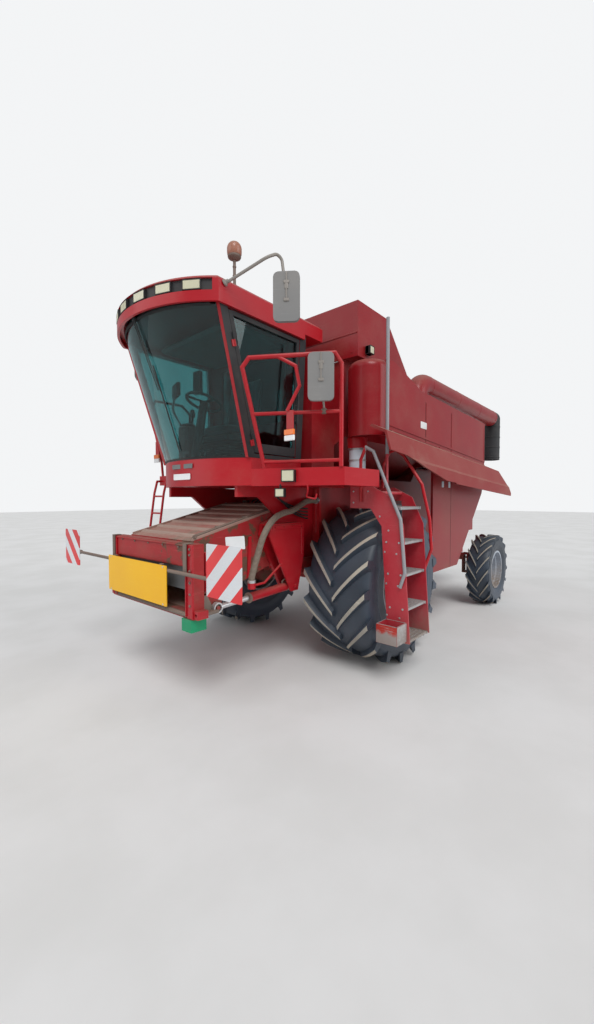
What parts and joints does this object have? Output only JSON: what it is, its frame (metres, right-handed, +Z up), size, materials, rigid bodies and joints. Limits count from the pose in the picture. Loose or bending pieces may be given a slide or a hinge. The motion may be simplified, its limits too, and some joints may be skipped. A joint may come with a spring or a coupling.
{
  "type": "combine harvester",
  "caption": "Self-propelled combine harvester without its header, parked: red cab, grain tank, feeder house with lift cylinders, unloading tube and rear-wheel steering.",
  "frame": {"origin": "Under the middle of the bounding box, on the ground.", "axes": "X forward along the machine, Y to its left, Z up."},
  "size_m": [7.4478, 3.8402, 4.3103],
  "materials": {
    "red_paint": "faded and dusty",
    "dusty_paint": "faded, covered with tan dust",
    "pale_paint": "satin",
    "rim_paint": "satin silver",
    "board_paint": "blank warning boards",
    "bare_steel": "worn",
    "cast_engine": "matte",
    "black_plastic": "matte",
    "green_plastic": "matte",
    "lamp_plastic": "clear lenses over cream reflectors",
    "seat_fabric": "woven",
    "tinted_glass": "teal tint",
    "tyre_rubber": "dusty",
    "hose_rubber": "matte"
  },
  "bodies": {
    "chassis": {"main_frame": "red_paint", "outriggers": "red_paint", "front_axle": "red_paint", "threshing_body": "red_paint", "front_bulkhead": "red_paint", "grain_tank": "dusty_paint", "tank_extension": "dusty_paint", "side_panels": "red_paint", "wheel_arches": "dusty_paint", "lower_shields": "red_paint", "straw_hood": "red_paint", "engine": "cast_engine", "engine_cover": "red_paint", "fuel_tank": "black_plastic", "cab_shell": "red_paint", "cab_roof": "dusty_paint", "lamps": "lamp_plastic", "cab_glass": "tinted_glass", "seat": "seat_fabric", "steering_column": "black_plastic", "platform": "red_paint", "guard_rail": "red_paint", "mirrors": "black_plastic", "access_ladder": "red_paint", "ladder_steps": "bare_steel", "ladder_rails": "red_paint", "right_steps": "red_paint", "elevator_tube": "pale_paint", "rear_axle": "red_paint", "supply_hose": "hose_rubber"},
    "feeder": {"feeder_house": "dusty_paint", "header_frame": "red_paint", "header_locks": "red_paint", "feeder_chain": "bare_steel", "throat_flap": "hose_rubber", "marker_boards": "board_paint", "stand_block": "green_plastic"},
    "lift_barrel_pair": {"lift_barrels": "red_paint"},
    "lift_rod_pair": {"lift_rods": "bare_steel"},
    "cab_door": {"door_frame": "black_plastic", "door_glass": "tinted_glass"},
    "unloader": {"unloading_tube": "dusty_paint", "unloading_boot": "hose_rubber"},
    "flare_cover_left": {"flare_left": "dusty_paint"},
    "flare_cover_right": {"flare_right": "dusty_paint"},
    "air_screen_drum": {"air_screen": "black_plastic"},
    "spreader_disc_left": {"spreader_left": "bare_steel"},
    "spreader_disc_right": {"spreader_right": "bare_steel"},
    "front_wheel_left": {"tyre_front_left": "tyre_rubber", "rim_front_left": "rim_paint"},
    "front_wheel_right": {"tyre_front_right": "tyre_rubber", "rim_front_right": "rim_paint"},
    "steering_knuckle_left": {"knuckle_left": "red_paint"},
    "steering_knuckle_right": {"knuckle_right": "red_paint"},
    "tie_rod": {"steering_rod": "bare_steel"},
    "rear_wheel_left": {"tyre_rear_left": "tyre_rubber", "rim_rear_left": "rim_paint"},
    "rear_wheel_right": {"tyre_rear_right": "tyre_rubber", "rim_rear_right": "rim_paint"}
  },
  "joints": [
    {"name": "feeder_lift", "type": "hinge", "parent": "chassis", "child": "feeder", "pos_m": [2.0897, 0, 1.56], "axis": [0, 1, 0], "range_deg": [-4, 22]},
    {"name": "lift_barrel_swing", "type": "hinge", "parent": "chassis", "child": "lift_barrel_pair", "pos_m": [2.2697, 0, 0.93], "axis": [0, 1, 0], "range_deg": [-6, 31]},
    {"name": "lift_rod_stroke", "type": "slide", "parent": "lift_barrel_pair", "child": "lift_rod_pair", "axis": [0.9988, 0, -0.0499], "range_m": [-0.22, 0.05]},
    {"name": "cab_door_swing", "type": "hinge", "parent": "chassis", "child": "cab_door", "pos_m": [2.8597, 0.75698, 2.27933], "axis": [-0.2916, -0.0534, -0.9551], "range_deg": [0, 50]},
    {"name": "unloader_swing", "type": "hinge", "parent": "chassis", "child": "unloader", "pos_m": [0.3197, 1.2, 3], "axis": [0, 0, 1], "range_deg": [-90, 0]},
    {"name": "flare_left_lift", "type": "hinge", "parent": "chassis", "child": "flare_cover_left", "pos_m": [0.2097, 1.5125, 2.53893], "axis": [0.9986, 0, 0.0535], "range_deg": [0, 60]},
    {"name": "flare_right_lift", "type": "hinge", "parent": "chassis", "child": "flare_cover_right", "pos_m": [0.2097, -1.5125, 2.53893], "axis": [-0.9986, 0, -0.0535], "range_deg": [0, 60]},
    {"name": "air_screen_spin", "type": "hinge", "parent": "chassis", "child": "air_screen_drum", "pos_m": [-1.2903, -1.4, 2.79], "axis": [0, 1, 0], "continuous": true},
    {"name": "spreader_left_spin", "type": "hinge", "parent": "chassis", "child": "spreader_disc_left", "pos_m": [-3.3853, 0.33, 0.93], "axis": [0, 0, 1], "continuous": true},
    {"name": "spreader_right_spin", "type": "hinge", "parent": "chassis", "child": "spreader_disc_right", "pos_m": [-3.3853, -0.33, 0.93], "axis": [0, 0, 1], "continuous": true},
    {"name": "front_wheel_left_spin", "type": "hinge", "parent": "chassis", "child": "front_wheel_left", "pos_m": [1.2697, 1.16, 0.91], "axis": [0, 1, 0], "continuous": true},
    {"name": "front_wheel_right_spin", "type": "hinge", "parent": "chassis", "child": "front_wheel_right", "pos_m": [1.2697, -1.16, 0.91], "axis": [0, 1, 0], "continuous": true},
    {"name": "steer_left", "type": "hinge", "parent": "chassis", "child": "steering_knuckle_left", "pos_m": [-2.2303, 1.12, 0.7], "axis": [0, 0, 1], "range_deg": [-28, 28]},
    {"name": "steer_right", "type": "hinge", "parent": "chassis", "child": "steering_knuckle_right", "pos_m": [-2.2303, -1.12, 0.7], "axis": [0, 0, 1], "range_deg": [-28, 28]},
    {"name": "tie_rod_slide", "type": "slide", "parent": "chassis", "child": "tie_rod", "axis": [0, 1, 0], "range_m": [-0.1, 0.1]},
    {"name": "rear_wheel_left_spin", "type": "hinge", "parent": "steering_knuckle_left", "child": "rear_wheel_left", "pos_m": [-2.2303, 1.43, 0.615], "axis": [0, 1, 0], "continuous": true},
    {"name": "rear_wheel_right_spin", "type": "hinge", "parent": "steering_knuckle_right", "child": "rear_wheel_right", "pos_m": [-2.2303, -1.43, 0.615], "axis": [0, 1, 0], "continuous": true}
  ],
  "couplings": [
    {"joint": "lift_barrel_swing", "follows": "feeder_lift", "ratio": 1.3642},
    {"joint": "lift_rod_stroke", "follows": "feeder_lift", "m_per_rad": -0.55072},
    {"joint": "steer_right", "follows": "steer_left", "ratio": 1},
    {"joint": "tie_rod_slide", "follows": "steer_left", "m_per_rad": -0.2}
  ]
}
